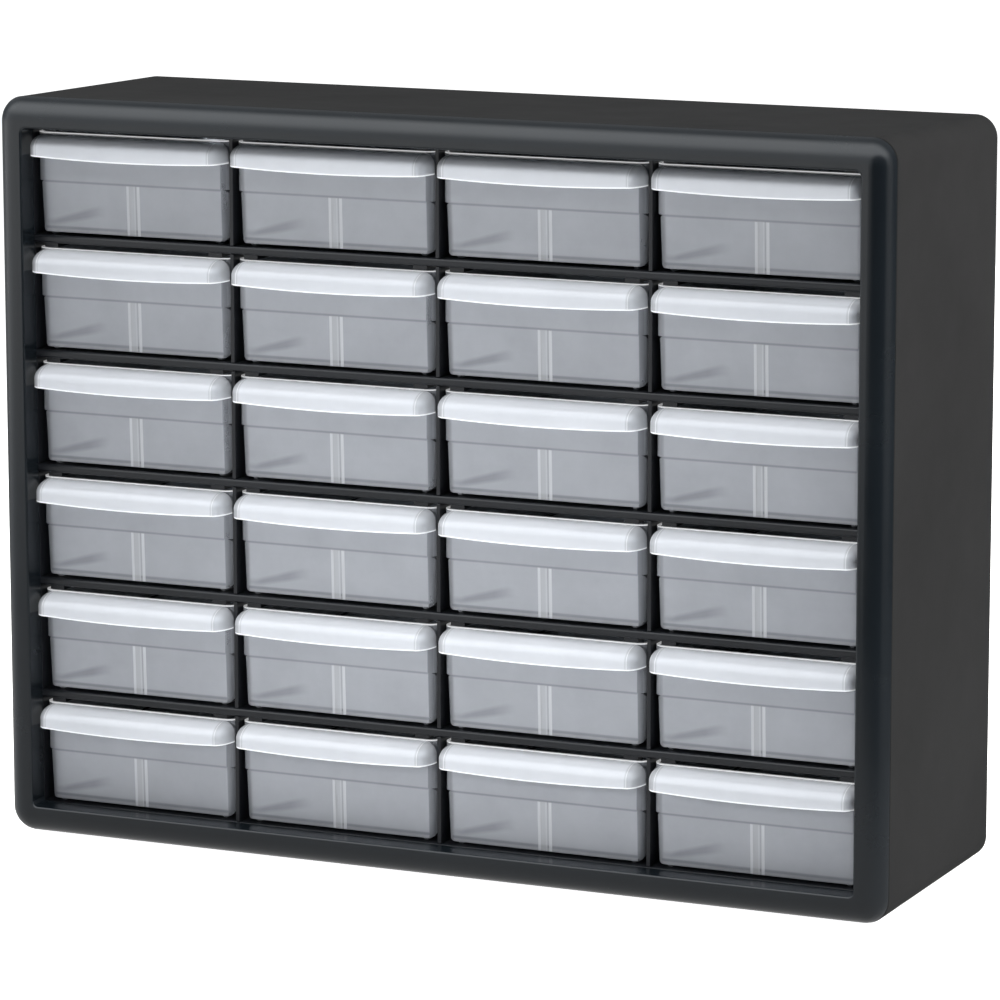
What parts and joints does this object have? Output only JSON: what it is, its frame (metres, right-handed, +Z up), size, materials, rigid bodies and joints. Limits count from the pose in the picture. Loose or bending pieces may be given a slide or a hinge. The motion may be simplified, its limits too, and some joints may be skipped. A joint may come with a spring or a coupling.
{
  "type": "parts organizer cabinet",
  "caption": "Black bench or wall cabinet with a rounded front frame and rows of clear, hood-handled drawers that slide out for small parts.",
  "frame": {"origin": "centre of the footprint, on the surface it stands on", "axes": "+Z up, drawers face -Y and slide out along -Y, +X to the right seen from the front"},
  "size_m": [0.508, 0.1618, 0.4022],
  "materials": {
    "case_black": "fine moulded texture",
    "bezel_black": "satin moulded",
    "panel_black": "satin moulded",
    "drawer_clear": "clear polystyrene with a slight haze"
  },
  "bodies": {
    "cabinet": {"outer_shell": "case_black", "front_bezel": "bezel_black", "floor_panel": "panel_black", "shelf_1": "panel_black", "shelf_2": "panel_black", "shelf_3": "panel_black", "shelf_4": "panel_black", "shelf_5": "panel_black", "top_panel": "panel_black", "side_panel_left": "panel_black", "divider_left": "panel_black", "divider_centre": "panel_black", "divider_right": "panel_black", "side_panel_right": "panel_black"},
    "drawer_r1_c1": {"drawer_r1_c1": "drawer_clear"},
    "drawer_r1_c2": {"drawer_r1_c2": "drawer_clear"},
    "drawer_r1_c3": {"drawer_r1_c3": "drawer_clear"},
    "drawer_r1_c4": {"drawer_r1_c4": "drawer_clear"},
    "drawer_r2_c1": {"drawer_r2_c1": "drawer_clear"},
    "drawer_r2_c2": {"drawer_r2_c2": "drawer_clear"},
    "drawer_r2_c3": {"drawer_r2_c3": "drawer_clear"},
    "drawer_r2_c4": {"drawer_r2_c4": "drawer_clear"},
    "drawer_r3_c1": {"drawer_r3_c1": "drawer_clear"},
    "drawer_r3_c2": {"drawer_r3_c2": "drawer_clear"},
    "drawer_r3_c3": {"drawer_r3_c3": "drawer_clear"},
    "drawer_r3_c4": {"drawer_r3_c4": "drawer_clear"},
    "drawer_r4_c1": {"drawer_r4_c1": "drawer_clear"},
    "drawer_r4_c2": {"drawer_r4_c2": "drawer_clear"},
    "drawer_r4_c3": {"drawer_r4_c3": "drawer_clear"},
    "drawer_r4_c4": {"drawer_r4_c4": "drawer_clear"},
    "drawer_r5_c1": {"drawer_r5_c1": "drawer_clear"},
    "drawer_r5_c2": {"drawer_r5_c2": "drawer_clear"},
    "drawer_r5_c3": {"drawer_r5_c3": "drawer_clear"},
    "drawer_r5_c4": {"drawer_r5_c4": "drawer_clear"},
    "drawer_r6_c1": {"drawer_r6_c1": "drawer_clear"},
    "drawer_r6_c2": {"drawer_r6_c2": "drawer_clear"},
    "drawer_r6_c3": {"drawer_r6_c3": "drawer_clear"},
    "drawer_r6_c4": {"drawer_r6_c4": "drawer_clear"}
  },
  "joints": [
    {"name": "slide_r1_c1", "type": "slide", "parent": "cabinet", "child": "drawer_r1_c1", "axis": [0, -1, 0], "range_m": [0, 0.1178]},
    {"name": "slide_r1_c2", "type": "slide", "parent": "cabinet", "child": "drawer_r1_c2", "axis": [0, -1, 0], "range_m": [0, 0.1178]},
    {"name": "slide_r1_c3", "type": "slide", "parent": "cabinet", "child": "drawer_r1_c3", "axis": [0, -1, 0], "range_m": [0, 0.1178]},
    {"name": "slide_r1_c4", "type": "slide", "parent": "cabinet", "child": "drawer_r1_c4", "axis": [0, -1, 0], "range_m": [0, 0.1178]},
    {"name": "slide_r2_c1", "type": "slide", "parent": "cabinet", "child": "drawer_r2_c1", "axis": [0, -1, 0], "range_m": [0, 0.1178]},
    {"name": "slide_r2_c2", "type": "slide", "parent": "cabinet", "child": "drawer_r2_c2", "axis": [0, -1, 0], "range_m": [0, 0.1178]},
    {"name": "slide_r2_c3", "type": "slide", "parent": "cabinet", "child": "drawer_r2_c3", "axis": [0, -1, 0], "range_m": [0, 0.1178]},
    {"name": "slide_r2_c4", "type": "slide", "parent": "cabinet", "child": "drawer_r2_c4", "axis": [0, -1, 0], "range_m": [0, 0.1178]},
    {"name": "slide_r3_c1", "type": "slide", "parent": "cabinet", "child": "drawer_r3_c1", "axis": [0, -1, 0], "range_m": [0, 0.1178]},
    {"name": "slide_r3_c2", "type": "slide", "parent": "cabinet", "child": "drawer_r3_c2", "axis": [0, -1, 0], "range_m": [0, 0.1178]},
    {"name": "slide_r3_c3", "type": "slide", "parent": "cabinet", "child": "drawer_r3_c3", "axis": [0, -1, 0], "range_m": [0, 0.1178]},
    {"name": "slide_r3_c4", "type": "slide", "parent": "cabinet", "child": "drawer_r3_c4", "axis": [0, -1, 0], "range_m": [0, 0.1178]},
    {"name": "slide_r4_c1", "type": "slide", "parent": "cabinet", "child": "drawer_r4_c1", "axis": [0, -1, 0], "range_m": [0, 0.1178]},
    {"name": "slide_r4_c2", "type": "slide", "parent": "cabinet", "child": "drawer_r4_c2", "axis": [0, -1, 0], "range_m": [0, 0.1178]},
    {"name": "slide_r4_c3", "type": "slide", "parent": "cabinet", "child": "drawer_r4_c3", "axis": [0, -1, 0], "range_m": [0, 0.1178]},
    {"name": "slide_r4_c4", "type": "slide", "parent": "cabinet", "child": "drawer_r4_c4", "axis": [0, -1, 0], "range_m": [0, 0.1178]},
    {"name": "slide_r5_c1", "type": "slide", "parent": "cabinet", "child": "drawer_r5_c1", "axis": [0, -1, 0], "range_m": [0, 0.1178]},
    {"name": "slide_r5_c2", "type": "slide", "parent": "cabinet", "child": "drawer_r5_c2", "axis": [0, -1, 0], "range_m": [0, 0.1178]},
    {"name": "slide_r5_c3", "type": "slide", "parent": "cabinet", "child": "drawer_r5_c3", "axis": [0, -1, 0], "range_m": [0, 0.1178]},
    {"name": "slide_r5_c4", "type": "slide", "parent": "cabinet", "child": "drawer_r5_c4", "axis": [0, -1, 0], "range_m": [0, 0.1178]},
    {"name": "slide_r6_c1", "type": "slide", "parent": "cabinet", "child": "drawer_r6_c1", "axis": [0, -1, 0], "range_m": [0, 0.1178]},
    {"name": "slide_r6_c2", "type": "slide", "parent": "cabinet", "child": "drawer_r6_c2", "axis": [0, -1, 0], "range_m": [0, 0.1178]},
    {"name": "slide_r6_c3", "type": "slide", "parent": "cabinet", "child": "drawer_r6_c3", "axis": [0, -1, 0], "range_m": [0, 0.1178]},
    {"name": "slide_r6_c4", "type": "slide", "parent": "cabinet", "child": "drawer_r6_c4", "axis": [0, -1, 0], "range_m": [0, 0.1178]}
  ]
}
